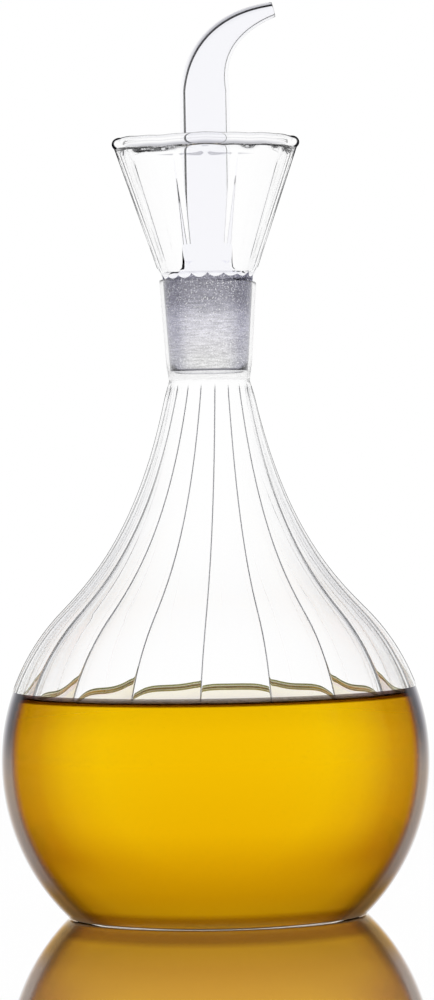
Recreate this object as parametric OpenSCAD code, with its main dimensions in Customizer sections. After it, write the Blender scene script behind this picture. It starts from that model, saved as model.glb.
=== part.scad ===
// Glass oil cruet: a ball-shaped flask with a ground socket, and a hollow
// ground stopper that carries a flared drip cup and a bent pouring spout.
// Millimetres. The axis is +Z, the foot stands on z = 0, the spout points to +X.

/* [Flask] */
// Outside diameter of the round bulb
bulb_d = 114.4; // [100:0.2:130]
// Diameter at which the bulb's ball shape meets the table
base_d = 80; // [60:1:90]
// Rounding between the bulb and the foot
heel_r = 1.6; // [1:0.2:5]
// Rounding inside, between the bulb and the floor
heel_in_r = 4; // [2:0.5:6]
// Width of the flat ring that the flask stands on
foot_ring_w = 4.5; // [2:0.5:10]
// Rise of the hollow under the base
punt_h = 2; // [0.5:0.5:5]
// Glass thickness of the base
base_wall = 2.6; // [1.5:0.1:5]
// Glass thickness of the bulb
bulb_wall = 1.8; // [1.2:0.1:3]
// Angle above the bulb's equator at which the shoulder leaves the ball shape
shoulder_angle = 44.6; // [35:0.2:55]
// Height from there to the foot of the socket
shoulder_h = 61; // [45:1:80]
// Length of the shoulder curve's lower handle
shoulder_pull = 12.7; // [5:0.1:20]
// Length of the shoulder curve's upper handle
neck_pull = 38.3; // [20:0.1:45]
// Lean of the neck's wall where it reaches the socket, in degrees
neck_lean = 11; // [0:1:18]
// Glass thickness of the neck
neck_wall = 1.3; // [1:0.1:1.8]

/* [Ribs] */
// Number of ribs round the inside of the flask, and round the outside of the drip cup
rib_count = 18; // [12:1:24]
// Width of a rib, in degrees about the axis
rib_angle = 2.4; // [1:0.2:4]
// How far a flask rib stands in from the glass at the neck
rib_depth = 0.8; // [0.3:0.1:1.2]
// How far a flask rib stands in where it fades out on the bulb
rib_depth_low = 0.2; // [0.1:0.05:0.25]
// Angle above the bulb's equator at which the ribs fade out
rib_low_angle = 6; // [2:1:20]

/* [Ground joint] */
// Bore diameter at the socket's mouth
joint_d = 24; // [20:0.2:30]
// Taper of the joint: length over which the diameter falls by one
joint_taper = 7.5; // [6:0.1:12]
// Length of the socket
socket_len = 26.8; // [24:0.2:40]
// Glass thickness of the socket
socket_wall = 0.95; // [0.8:0.05:2]
// Length of the stopper's cone inside the socket
cone_len = 24; // [16:0.5:26]
// How far the cone stands out of the socket
cone_rise = 1; // [0.5:0.1:4]
// Glass thickness of the cone
cone_wall = 1.3; // [0.8:0.1:2]
// Clearance all round between the cone and the socket
joint_gap = 0.05; // [0.02:0.01:0.1]
// Gap between the cone and the drip cup, which turn against each other
turn_gap = 0.1; // [0.05:0.05:0.3]

/* [Drip cup] */
// Height of the cup from the cone to the middle of its rim
cup_h = 35.7; // [25:0.1:50]
// Outside diameter of the rim
cup_d = 50; // [40:0.5:60]
// Height of the flare where the cup leaves the cone
cup_flare_h = 2.6; // [1.5:0.1:5]
// Outside diameter at the top of that flare
cup_flare_d = 27; // [25.5:0.1:32]
// Glass thickness of the cup
cup_wall = 1.3; // [1:0.1:2]
// Thickness of the rounded rim
rim_t = 3.2; // [2:0.1:4]
// How far the rim stands out past the cup's wall
rim_proud = 0.2; // [0:0.05:0.6]
// How far a rib stands out from the cup's wall
cup_rib_depth = 0.4; // [0.2:0.05:0.8]

/* [Pouring spout] */
// Outside diameter of the spout's straight tube
spout_d = 13.3; // [10:0.1:15]
// Glass thickness of the tube
spout_wall = 0.9; // [0.7:0.05:1.4]
// Radius of the flare that joins the tube to the cup
foot_flare_r = 3.3; // [2:0.1:3.6]
// Length of the straight tube above the cone
spout_h = 49.6; // [42:0.1:70]
// How far the tip reaches up above the straight tube
tip_rise = 21.3; // [16:0.1:30]
// How far the tip reaches out from the axis
tip_reach = 18.4; // [14:0.1:24]
// Outside diameter of the tip
tip_d = 4.2; // [3.6:0.1:6]
// Glass thickness at the tip
tip_wall = 0.6; // [0.4:0.05:0.9]
// Angle of the tip above level
tip_angle = 14; // [0:1:30]
// Length of the bend's lower handle
bend_pull = 11; // [6:0.5:14]
// Length of the bend's upper handle
tip_pull = 12; // [6:0.5:13]
// Diameter of the hole that lets drips run back
drip_hole_d = 2.4; // [1.5:0.1:2.8]

/* [Oil] */
// Height of the oil above the bulb's equator
oil_rise = 17.2; // [-10:0.2:30]
// Gap between the oil's solid and the glass
oil_gap = 0.3; // [0.3:0.05:0.6]

/* [Hidden] */
$fn = 120;

clear_glass = [0.86, 0.90, 0.93, 0.35];
ground_glass = [0.72, 0.73, 0.76];
oil_yellow = [0.85, 0.62, 0.05];

arc_step = 4;          // degrees between the points of an arc
curve_steps = 16;      // points along the shoulder curve
bend_sides = 32;       // sides of the bent tube
bend_rings = 22;       // rings along the bent tube
bend_lap = 1;          // length over which the bent tube sits in the straight one
bend_skin = 0.04;      // how far the bent tube stays inside the straight one's wall
cut_over = 1;          // how far a cut passes the surface that it opens

// Flask
bulb_r = bulb_d / 2;
bulb_z = sqrt(pow(bulb_r, 2) - pow(base_d / 2, 2));
shoulder_r = bulb_r * cos(shoulder_angle);
shoulder_z = bulb_z + bulb_r * sin(shoulder_angle);
neck_z = shoulder_z + shoulder_h;
oil_z = bulb_z + oil_rise;

// Ground joint
mouth_z = neck_z + socket_len;
neck_r = bore_r(neck_z) + socket_wall;
cone_low_z = mouth_z - cone_len;
cone_top_z = mouth_z + cone_rise;

// Stopper
cup_z = cone_top_z + turn_gap;
rim_z = cone_top_z + cup_h;
rim_r = rim_t / 2;
seat_r = cone_r(cone_top_z) - cone_wall;
spout_r = spout_d / 2;
bend_z = cone_top_z + spout_h;
foot_centre = [spout_r + foot_flare_r, cup_z + spout_wall + foot_flare_r];

// The shoulder curve's four control points, from the bulb up to the socket
shoulder_curve = [
    [shoulder_r, shoulder_z],
    [shoulder_r, shoulder_z] + shoulder_pull * [-sin(shoulder_angle), cos(shoulder_angle)],
    [neck_r, neck_z] + neck_pull * [sin(neck_lean), -cos(neck_lean)],
    [neck_r, neck_z]
];

// The bend's four control points, as [reach, height]
bend_curve = [
    [0, bend_z],
    [0, bend_z + bend_pull],
    [tip_reach, bend_z + tip_rise] - tip_pull * [cos(tip_angle), sin(tip_angle)],
    [tip_reach, bend_z + tip_rise]
];

// Bore radius of the socket at a height
function bore_r(z) = (joint_d - (mouth_z - z) / joint_taper) / 2;

// Outside radius of the stopper's cone at a height
function cone_r(z) = bore_r(z) - joint_gap;

// Point and direction of a cubic curve
function curve_at(p, t) =
    pow(1 - t, 3) * p[0] + 3 * pow(1 - t, 2) * t * p[1] + 3 * (1 - t) * t * t * p[2] + pow(t, 3) * p[3];
function curve_slope(p, t) =
    3 * pow(1 - t, 2) * (p[1] - p[0]) + 6 * (1 - t) * t * (p[2] - p[1]) + 3 * t * t * (p[3] - p[2]);
function unit(v) = v / norm(v);

// Points of an arc about a centre, from one angle to another
function arc(centre, r, a0, a1) =
    let (n = max(2, ceil(abs(a1 - a0) / arc_step)))
    [for (i = [0:n]) let (a = a0 + (a1 - a0) * i / n) centre + r * [cos(a), sin(a)]];

// Points of the shoulder, moved in from the outside by a depth that varies along it
function shoulder_points(depth_low, depth_high) = [
    for (i = [1:curve_steps])
        let (t = i / curve_steps, d = unit(curve_slope(shoulder_curve, t)))
        curve_at(shoulder_curve, t) - (depth_low + (depth_high - depth_low) * t) * [d[1], -d[0]]
];

// Centre of the heel's rounding, for a ball of radius r over a floor at height z
function heel_centre(r, z, heel) =
    [sqrt(pow(r - heel, 2) - pow(bulb_z - z - heel, 2)), z + heel];

// Angle at which the heel's rounding runs into the ball
function heel_angle(r, z, heel) =
    let (c = heel_centre(r, z, heel)) atan2(c[1] - bulb_z, c[0]);

// The ball from its floor up to an angle: the heel's rounding, then the ball itself
function bulb_points(r, z, heel, top_angle) =
    let (a = heel_angle(r, z, heel))
    concat(arc(heel_centre(r, z, heel), heel, -90, a), arc([0, bulb_z], r, a + arc_step, top_angle));

// A shallow dome under the heel, from the axis out to radius r
function dome_points(r, z, rise) =
    let (dome_r = (r * r + rise * rise) / (2 * rise), half = asin(r / dome_r))
    arc([0, z + rise - dome_r], dome_r, 90, 90 - half);

function reversed(p) = [for (i = [len(p) - 1:-1:0]) p[i]];

// Outline between two curves that both run upwards
function between(outer, inner) = concat(outer, reversed(inner));

module flask_shell() {
    foot_r = heel_centre(bulb_r, 0, heel_r)[0];
    inner_r = bulb_r - bulb_wall;
    inner_floor = dome_points(heel_centre(inner_r, base_wall, heel_in_r)[0], base_wall, punt_h);
    outside = concat(
        dome_points(foot_r - foot_ring_w, 0, punt_h),
        bulb_points(bulb_r, 0, heel_r, shoulder_angle),
        shoulder_points(0, 0)
    );
    inside = concat(
        inner_floor,
        bulb_points(inner_r, base_wall, heel_in_r, shoulder_angle),
        [for (p = shoulder_points(bulb_wall, neck_wall)) if (p[1] < neck_z - neck_wall) p],
        [[neck_r - neck_wall / cos(neck_lean), neck_z]]
    );
    rotate_extrude() polygon(between(outside, inside));
}

// One rib follows the glass from where it fades out on the bulb up to the socket
module flask_rib() {
    inner_r = bulb_r - bulb_wall;
    root = concat(
        arc([0, bulb_z], inner_r + bulb_wall / 2, rib_low_angle, shoulder_angle),
        [for (p = shoulder_points(bulb_wall / 2, neck_wall / 2)) if (p[1] < neck_z - neck_wall) p]
    );
    crest = concat(
        arc([0, bulb_z], inner_r - rib_depth_low, rib_low_angle, shoulder_angle),
        [
            for (p = shoulder_points(bulb_wall + rib_depth_low, neck_wall + rib_depth))
                if (p[1] < neck_z - neck_wall) p
        ]
    );
    rotate([0, 0, -rib_angle / 2]) rotate_extrude(angle = rib_angle) polygon(between(root, crest));
}

module flask_body() {
    color(clear_glass) {
        flask_shell();
        for (i = [0:rib_count - 1]) rotate([0, 0, i * 360 / rib_count]) flask_rib();
    }
}

module neck_socket() {
    color(ground_glass) rotate_extrude() polygon([
        [bore_r(neck_z), neck_z],
        [neck_r, neck_z],
        [bore_r(mouth_z) + socket_wall, mouth_z],
        [bore_r(mouth_z), mouth_z]
    ]);
}

module oil_fill() {
    oil_r = bulb_r - bulb_wall - oil_gap;
    floor_z = base_wall + oil_gap;
    floor_r = heel_centre(oil_r, floor_z, heel_in_r)[0];
    top_angle = asin(oil_rise / oil_r);
    color(oil_yellow) rotate_extrude() polygon(concat(
        dome_points(floor_r, floor_z, punt_h),
        bulb_points(oil_r, floor_z, heel_in_r, top_angle),
        [[0, oil_z]]
    ));
}

module ground_cone() {
    color(ground_glass) rotate_extrude() polygon([
        [cone_r(cone_low_z) - cone_wall, cone_low_z],
        [cone_r(cone_low_z), cone_low_z],
        [cone_r(cone_top_z), cone_top_z],
        [seat_r, cone_top_z]
    ]);
}

// Outside radius of the cup's straight wall at a height
function cup_r(z) =
    let (low = cup_z + cup_flare_h, high = cup_d / 2 - rim_proud)
    cup_flare_d / 2 + (high - cup_flare_d / 2) * (z - low) / (rim_z - low);

module drip_cup() {
    flare_z = cup_z + cup_flare_h;
    ledge_z = cup_z + spout_wall;
    rib_top_z = rim_z - rim_r / 2;
    rib_angle_step = 360 / rib_count;
    color(clear_glass) {
        rotate_extrude() {
            polygon([
                [seat_r, cup_z],
                [cone_r(cone_top_z), cup_z],
                [cup_r(flare_z), flare_z],
                [cup_r(rim_z), rim_z],
                [cup_r(rim_z) - cup_wall, rim_z],
                [cup_r(flare_z) - cup_wall, flare_z],
                [seat_r, ledge_z]
            ]);
            translate([cup_d / 2 - rim_r, rim_z]) circle(r = rim_r);
        }
        for (i = [0:rib_count - 1])
            rotate([0, 0, i * rib_angle_step - rib_angle / 2])
                rotate_extrude(angle = rib_angle) polygon([
                    [cup_r(flare_z) - cup_wall / 2, flare_z],
                    [cup_r(flare_z), flare_z],
                    [cup_r(rib_top_z) + cup_rib_depth, rib_top_z],
                    [cup_r(rib_top_z) - cup_wall / 2, rib_top_z]
                ]);
    }
}

// The straight tube with its flared foot, which closes the bottom of the cup
module spout_tube() {
    rotate_extrude() polygon(concat(
        [[seat_r, cup_z], [seat_r, cup_z + spout_wall]],
        arc(foot_centre, foot_flare_r, -90, -180),
        [[spout_r, bend_z], [spout_r - spout_wall, bend_z]],
        arc(foot_centre, foot_flare_r + spout_wall, -180, -90)
    ));
}

// One ring of the bent tube, square to the curve at t
function bend_ring(t, r) =
    let (c = curve_at(bend_curve, t), d = unit(curve_slope(bend_curve, t)))
    [
        for (k = [0:bend_sides - 1])
            let (a = k * 360 / bend_sides)
            [c[0] + r * cos(a) * d[1], r * sin(a), c[1] - r * cos(a) * d[0]]
    ];

// Rings up the outside of the bend, which starts inside the straight tube's wall
function bend_rings_of(r0, r1) = concat(
    [[for (p = bend_ring(0, r0)) p - [0, 0, bend_lap]]],
    [for (i = [0:bend_rings]) bend_ring(i / bend_rings, r0 + (r1 - r0) * i / bend_rings)]
);

// Faces of the four-sided strip between ring i of one skin and ring j of another
function strip(i, j, flip) = [
    for (k = [0:bend_sides - 1])
        let (
            n = (k + 1) % bend_sides,
            quad = [i * bend_sides + k, i * bend_sides + n, j * bend_sides + n, j * bend_sides + k]
        )
        flip ? reversed(quad) : quad
];

module spout_bend() {
    outer = bend_rings_of(spout_r - bend_skin, tip_d / 2);
    inner = bend_rings_of(spout_r - spout_wall + bend_skin, tip_d / 2 - tip_wall);
    n = len(outer);
    rings = concat(outer, inner);
    faces = concat(
        [for (i = [0:n - 2]) each strip(i, i + 1, true)],
        [for (i = [0:n - 2]) each strip(n + i, n + i + 1, false)],
        strip(n - 1, 2 * n - 1, true),
        strip(0, n, false)
    );
    polyhedron(points = [for (ring = rings) each ring], faces = faces);
}

module pouring_spout() {
    hole_x = (foot_centre[0] + spout_r) / 2 + drip_hole_d / 4;
    color(clear_glass) {
        difference() {
            spout_tube();
            translate([-hole_x, 0, cup_z - cut_over])
                cylinder(d = drip_hole_d, h = spout_wall + foot_flare_r + 2 * cut_over);
        }
        spout_bend();
    }
}

flask_body();
neck_socket();
oil_fill();
ground_cone();
drip_cup();
pouring_spout();
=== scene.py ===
"""Glass oil cruet: blown flask with ground socket, its olive oil, and stopper with drip cup and spout."""

import logging
import math
from dataclasses import dataclass, field
from enum import IntEnum

import bpy
import numpy as np
from mathutils import Matrix, Vector


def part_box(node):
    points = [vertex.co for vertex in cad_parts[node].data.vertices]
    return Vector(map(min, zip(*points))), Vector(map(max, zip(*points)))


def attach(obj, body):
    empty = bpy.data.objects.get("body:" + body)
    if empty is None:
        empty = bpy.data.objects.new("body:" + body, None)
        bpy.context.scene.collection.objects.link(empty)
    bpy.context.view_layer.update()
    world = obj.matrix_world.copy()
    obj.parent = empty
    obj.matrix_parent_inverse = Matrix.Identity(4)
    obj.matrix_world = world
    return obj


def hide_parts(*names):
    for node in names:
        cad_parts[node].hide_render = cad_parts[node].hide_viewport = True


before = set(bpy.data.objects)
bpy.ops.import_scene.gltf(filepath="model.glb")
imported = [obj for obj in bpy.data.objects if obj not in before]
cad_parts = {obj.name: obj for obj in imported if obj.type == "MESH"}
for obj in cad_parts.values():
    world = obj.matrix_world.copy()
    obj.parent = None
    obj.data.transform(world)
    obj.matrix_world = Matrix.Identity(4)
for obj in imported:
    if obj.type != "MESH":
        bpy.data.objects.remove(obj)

log = logging.getLogger("cruet")

MM = 0.001              # metres in a millimetre
RIB_COUNT = 18          # ribs round the flask and round the drip cup
CELL = 2 * math.pi / RIB_COUNT
FRONT = -math.pi / 2    # angle about the axis of the side that faces the camera
HALF_COLUMNS = 12       # columns from the middle of a rib to the middle of the pane beside it
CREASE = 0.015          # distance in mm between two rows that keep a corner of the oil crisp

# Where the columns nearest a rib stand, in mm along the glass from the rib's middle
CREST_ARCS = (0.08, 0.16, 0.24, 0.34, 0.6)

# Settings of nodes that mix colours, that multiply them, and that ease a value in and out
COLOURS: dict[str, str] = {"data_type": "RGBA"}
TIMES: dict[str, str] = {"data_type": "RGBA", "blend_type": "MULTIPLY"}
SMOOTH: dict[str, str] = {"interpolation_type": "SMOOTHSTEP"}

# One number for a whole row, or one for each of its columns
Values = float | np.ndarray


def linear(hex_colour: str) -> tuple[float, float, float, float]:
    """Turns an sRGB hex colour, such as "#F5C600", into the linear one that a shader takes.

    Args:
        hex_colour: six hex digits after a hash.

    Returns:
        Linear red, green, blue and an alpha of 1.
    """
    parts = [int(hex_colour[i:i + 2], 16) / 255 for i in (1, 3, 5)]
    red, green, blue = (c / 12.92 if c <= 0.04045 else ((c + 0.055) / 1.055) ** 2.4 for c in parts)
    return red, green, blue, 1.0


def smooth_step(low: float, high: float, value: Values) -> Values:
    """Rises smoothly from 0 at low to 1 at high, for a number or an array."""
    t = np.clip((value - low) / (high - low), 0.0, 1.0)
    return t * t * (3 - 2 * t)


def box_heights(node: str) -> tuple[float, float]:
    """Lowest and highest point of a CAD node, in mm."""
    low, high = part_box(node)
    return low[2] / MM, high[2] / MM


def put_in_scene(name: str, data: bpy.types.ID) -> bpy.types.Object:
    """Makes an object at the scene's origin.

    Args:
        name: its name.
        data: its mesh or camera.

    Returns:
        The object.
    """
    made = bpy.data.objects.new(name, data)
    bpy.context.scene.collection.objects.link(made)
    return made


# Curves in the half plane of radius and height


def arc(centre: tuple[float, float], radius: float, start: float, end: float,
        steps: int) -> list[np.ndarray]:
    """Points of an arc, ends included.

    Args:
        centre: radius and height of its centre, in mm.
        radius: its radius, in mm.
        start: angle of its first point, in degrees.
        end: angle of its last point, in degrees.
        steps: how many stretches it is cut into.

    Returns:
        Its points as arrays of radius and height.
    """
    angles = np.radians(np.linspace(start, end, steps + 1))
    middle = np.array(centre)
    return [middle + radius * np.array([math.cos(a), math.sin(a)]) for a in angles]


def line(start: tuple[float, float], end: tuple[float, float], steps: int) -> list[np.ndarray]:
    """Points of a straight stretch, ends included."""
    first, last = np.array(start, float), np.array(end, float)
    return [first + (last - first) * t for t in np.linspace(0, 1, steps + 1)]


def cubic(controls: list[np.ndarray], t: float) -> tuple[np.ndarray, np.ndarray]:
    """Point and direction of a cubic curve.

    Args:
        controls: its four control points.
        t: how far along it, from 0 to 1.

    Returns:
        The point there, and the unit vector along the curve.
    """
    a, b, c, d = controls
    point = (1 - t) ** 3 * a + 3 * (1 - t) ** 2 * t * b + 3 * (1 - t) * t * t * c + t ** 3 * d
    slope = 3 * (1 - t) ** 2 * (b - a) + 6 * (1 - t) * t * (c - b) + 3 * t * t * (d - c)
    return point, slope / np.linalg.norm(slope)


# Turned glass


def column_angles(radius: float) -> tuple[np.ndarray, np.ndarray]:
    """Where the columns of points stand round a row, crowded at each rib.

    Args:
        radius: the row's radius, in mm.

    Returns:
        Each column's angle about the axis from the front rib, and its signed angle from its own rib.
    """
    half = CELL / 2
    share = np.arange(HALF_COLUMNS + 1) / HALF_COLUMNS * half
    near = np.minimum(np.array((0.0, *CREST_ARCS)) / max(radius, 0.5), share[:len(CREST_ARCS) + 1])
    far = np.linspace(near[-1], half, HALF_COLUMNS + 1 - len(CREST_ARCS))[1:]
    steps = np.concatenate([near, far])
    cell = np.concatenate([-steps[-2:0:-1], steps])
    turns = np.arange(RIB_COUNT) * CELL
    return (turns[:, None] + cell[None, :]).ravel(), np.tile(cell, RIB_COUNT)


def edge_of(width: Values, radius: float) -> Values:
    """How soon a wall's painted dark outline sets in at a slant, so that its edge shows as a line of an
    even width. The outline is painted shade.

    Args:
        width: the line's width in mm, or one per column.
        radius: radius of the wall's curve there, in mm.

    Returns:
        One minus the facing value at which the painted dark line starts: 0 for none.
    """
    return np.sqrt(1 - (1 - np.minimum(np.asarray(width, float) / radius, 1)) ** 2)


@dataclass
class GlassRows:
    """Rows of points round a piece of glass, from one end of its skin to the other, with air on the left.

    rows holds one array of points per row, slots the material of the band after each row, crests how much
    of a rib's crest (or of the oil's brink) each point is, which masks painted shade, and edges how soon a
    painted dark outline sets in at a slant.
    """

    rows: list[np.ndarray] = field(default_factory=list)
    slots: list[int] = field(default_factory=list)
    crests: list[np.ndarray] = field(default_factory=list)
    edges: list[np.ndarray] = field(default_factory=list)

    def add(self, points: np.ndarray, slot: int, crest: Values = 0.0, edge: Values = 0.0) -> None:
        """Adds one row.

        Args:
            points: one point per column, in mm.
            slot: the material slot of the band between this row and the next.
            crest: how much of a rib's crest each point is, from 0 to 1.
            edge: how soon each point's painted dark outline sets in at a slant, as edge_of gives it.
        """
        self.rows.append(points)
        self.slots.append(int(slot))
        self.crests.append(np.broadcast_to(crest, len(points)))
        self.edges.append(np.broadcast_to(edge, len(points)))

    def turned(self, radius: Values, height: Values, slot: int, twist: float = 0.0, crest: Values = 0.0,
               edge: Values = 0.0) -> None:
        """Adds a row that stands round the axis.

        Args:
            radius: its radius, or one per column, in mm.
            height: its height, or one per column, in mm.
            slot: the material slot of the band after it.
            twist: how far its ribs are turned from the front, in degrees.
            crest: how much of a rib's crest each point is.
            edge: how soon each point's painted dark outline sets in at a slant.
        """
        angles, _ = column_angles(float(np.mean(radius)))
        angles = angles + FRONT + math.radians(twist)
        points = np.empty((len(angles), 3))
        points[:, 0] = radius * np.cos(angles)
        points[:, 1] = radius * np.sin(angles)
        points[:, 2] = height
        self.add(points, slot, crest, edge)

    def run(self, points: list, slot: int) -> None:
        """Adds a plain row for each pair of radius and height."""
        for radius, height in points:
            self.turned(radius, height, slot)

    def mesh_object(self, name: str, finishes: list[bpy.types.Material],
                    ends: tuple[float, float] | None) -> bpy.types.Object:
        """Makes the skin into one closed mesh.

        Args:
            name: the piece's name.
            finishes: its materials, in the order of the slots.
            ends: heights in mm of the points on the axis that close the first and last row, or None
                where the last row joins the first.

        Returns:
            The piece, at the origin.
        """
        columns = len(self.rows[0])
        points = np.concatenate(self.rows)
        count = len(self.rows)
        bands = count if ends is None else count - 1
        across = np.arange(columns)
        beside = (across + 1) % columns
        quads, slots = [], []
        for i in range(bands):
            here, there = i * columns, (i + 1) % count * columns
            quads.append(np.stack([here + across, there + across, there + beside, here + beside], axis=1))
            slots += [self.slots[i]] * columns
        faces = np.concatenate(quads).tolist()
        looks = {"crest": np.concatenate(self.crests), "edge": np.concatenate(self.edges)}
        if ends is not None:
            points = np.vstack([points, [0, 0, ends[0]], [0, 0, ends[1]]])
            looks = {key: np.append(values, (0.0, 0.0)) for key, values in looks.items()}
            first, last = count * columns, count * columns + 1
            final = (count - 1) * columns
            faces += [(first, a, b) for a, b in zip(across.tolist(), beside.tolist())]
            faces += [(last, final + b, final + a) for a, b in zip(across.tolist(), beside.tolist())]
            slots += [self.slots[0]] * columns + [self.slots[-1]] * columns
        mesh = bpy.data.meshes.new(name)
        mesh.from_pydata((points * MM).tolist(), [], faces)
        for finish in finishes:
            mesh.materials.append(finish)
        mesh.polygons.foreach_set("material_index", slots)
        mesh.polygons.foreach_set("use_smooth", [True] * len(mesh.polygons))
        for key, values in looks.items():
            mesh.attributes.new(key, "FLOAT", "POINT").data.foreach_set("value", values.astype(np.float32))
        mesh.validate()
        mesh.update()
        return put_in_scene(name, mesh)


# Materials


def add_node(tree: bpy.types.NodeTree, kind: str, inputs: dict | None = None, stops: tuple = (),
             **settings) -> bpy.types.Node:
    """Adds a node with its settings and links.

    Args:
        tree: the tree that it goes in.
        kind: the node's type, without the ShaderNode in front.
        inputs: what goes into its sockets, by name or index: a value, a hex colour or another
            node's output.
        stops: places and hex colours of a colour ramp.
        settings: the node's own properties.

    Returns:
        The node.
    """
    node = tree.nodes.new("ShaderNode" + kind)
    for name, value in settings.items():
        setattr(node, name, value)
    for key, value in (inputs or {}).items():
        if isinstance(value, bpy.types.NodeSocket):
            tree.links.new(value, node.inputs[key])
        else:
            node.inputs[key].default_value = linear(value) if isinstance(value, str) else value
    for i, (place, colour) in enumerate(stops):
        element = node.color_ramp.elements[i] if i < 2 else node.color_ramp.elements.new(place)
        element.position = place
        element.color = linear(colour)
    return node


@dataclass(frozen=True)
class Finish:
    """A finish that becomes one material."""

    name: str

    def material(self) -> bpy.types.Material:
        """Makes the material and dresses its tree.

        Returns:
            The material.
        """
        made = bpy.data.materials.new(self.name)
        made.use_nodes = True
        made.node_tree.nodes.clear()
        output = add_node(made.node_tree, "OutputMaterial")
        self.dress(made.node_tree, output)
        return made

    def dress(self, tree: bpy.types.NodeTree, output: bpy.types.Node) -> None:
        """Builds the finish's nodes.

        Args:
            tree: the material's tree, empty but for its output.
            output: the output that they end in.
        """
        raise NotImplementedError


@dataclass(frozen=True)
class BoroClear(Finish):
    """Clear borosilicate glass, blown and fire-polished.

    It is water white. The lines that slanting edges and the crests of the near ribs draw on a white
    ground are painted shade: a dark outline and a grey over each near crest. Near-square reflections are
    left out, so that it stays as clean as it looks against the light.
    """

    ior: float = 1.47
    tint: str = "#FFFFFF"
    mirror: str = "#FFFFFF"
    # painted shade: the dark outline drawn where a surface slants past its edge, and how softly it sets in
    painted_outline_colour: str = "#16161A"
    painted_outline_blur: float = 0.03
    # painted shade: the grey painted over the crests of the near ribs
    painted_crest_shade: str = "#66666C"

    def outline(self, tree: bpy.types.NodeTree) -> bpy.types.NodeSocket:
        """How much of the painted dark outline a point is: all of it where the outside slants past its
        edge. The outline is painted shade.

        Args:
            tree: the material's tree.

        Returns:
            The share, from 0 to 1.
        """
        inside = add_node(tree, "NewGeometry").outputs["Backfacing"]
        facing = add_node(tree, "LayerWeight", {"Blend": 0.5}).outputs["Facing"]
        early = add_node(tree, "Attribute", attribute_name="edge").outputs["Fac"]
        past = add_node(tree, "Math", {0: facing, 1: early}, operation="ADD").outputs[0]
        slanting = add_node(tree, "MapRange", {
            "Value": past, "From Min": 1 - self.painted_outline_blur, "From Max": 1 + self.painted_outline_blur,
        }, **SMOOTH).outputs["Result"]
        marked = add_node(tree, "Math", {0: early, 1: 0.01}, operation="GREATER_THAN").outputs[0]
        outside = add_node(tree, "Math", {
            0: marked, 1: inside,
        }, operation="SUBTRACT", use_clamp=True).outputs[0]
        return add_node(tree, "Math", {0: slanting, 1: outside}, operation="MULTIPLY").outputs[0]

    def colour_with_painted_crests(self, tree: bpy.types.NodeTree) -> bpy.types.NodeSocket:
        """What light takes on as it crosses the skin: a clean tint, with a painted grey shade where a near
        rib's crest bends it.

        Args:
            tree: the material's tree.

        Returns:
            The colour.
        """
        inside = add_node(tree, "NewGeometry").outputs["Backfacing"]
        crest = add_node(tree, "Attribute", attribute_name="crest").outputs["Fac"]
        near = add_node(tree, "Math", {0: crest, 1: inside}, operation="MULTIPLY").outputs[0]
        return add_node(tree, "Mix", {0: near, 6: self.tint, 7: self.painted_crest_shade}, **COLOURS).outputs[2]

    def mirror_share(self, tree: bpy.types.NodeTree) -> bpy.types.NodeSocket:
        """Share of light that the skin mirrors: Fresnel's, less what it mirrors square on.

        Args:
            tree: the material's tree.

        Returns:
            The share, from 0 to 1.
        """
        square = ((self.ior - 1) / (self.ior + 1)) ** 2
        fresnel = add_node(tree, "Fresnel", {"IOR": self.ior}).outputs[0]
        return add_node(tree, "MapRange", {"Value": fresnel, "From Min": square}).outputs["Result"]

    def skin(self, tree: bpy.types.NodeTree, share: bpy.types.NodeSocket, colour: bpy.types.NodeSocket,
             mirror: bpy.types.NodeSocket, roughness: float = 0.0) -> bpy.types.NodeSocket:
        """The skin of a clear body: it bends light, and mirrors what meets it at a slant.

        Args:
            tree: the material's tree.
            share: share of light that is mirrored.
            colour: what the bent light is multiplied by.
            mirror: colour of its reflections.
            roughness: roughness of both.

        Returns:
            The shader's output.
        """
        bent = add_node(tree, "BsdfRefraction", {
            "Color": colour, "IOR": self.ior, "Roughness": roughness,
        }).outputs[0]
        mirrored = add_node(tree, "BsdfAnisotropic", {"Color": mirror, "Roughness": roughness}).outputs[0]
        return add_node(tree, "MixShader", {0: share, 1: bent, 2: mirrored}).outputs[0]

    def dress(self, tree: bpy.types.NodeTree, output: bpy.types.Node) -> None:
        """Paints the dark outline, painted shade, over the clear skin and over what the skin mirrors.

        Args:
            tree: the material's tree.
            output: the output that its nodes end in.
        """
        edge = self.outline(tree)
        # the painted dark outline goes over both the bent and the mirrored colour
        bent, mirror = (
            add_node(tree, "Mix", {0: edge, 6: colour, 7: self.painted_outline_colour}, **COLOURS).outputs[2]
            for colour in (self.colour_with_painted_crests(tree), self.mirror)
        )
        tree.links.new(self.skin(tree, self.mirror_share(tree), bent, mirror), output.inputs["Surface"])


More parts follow.
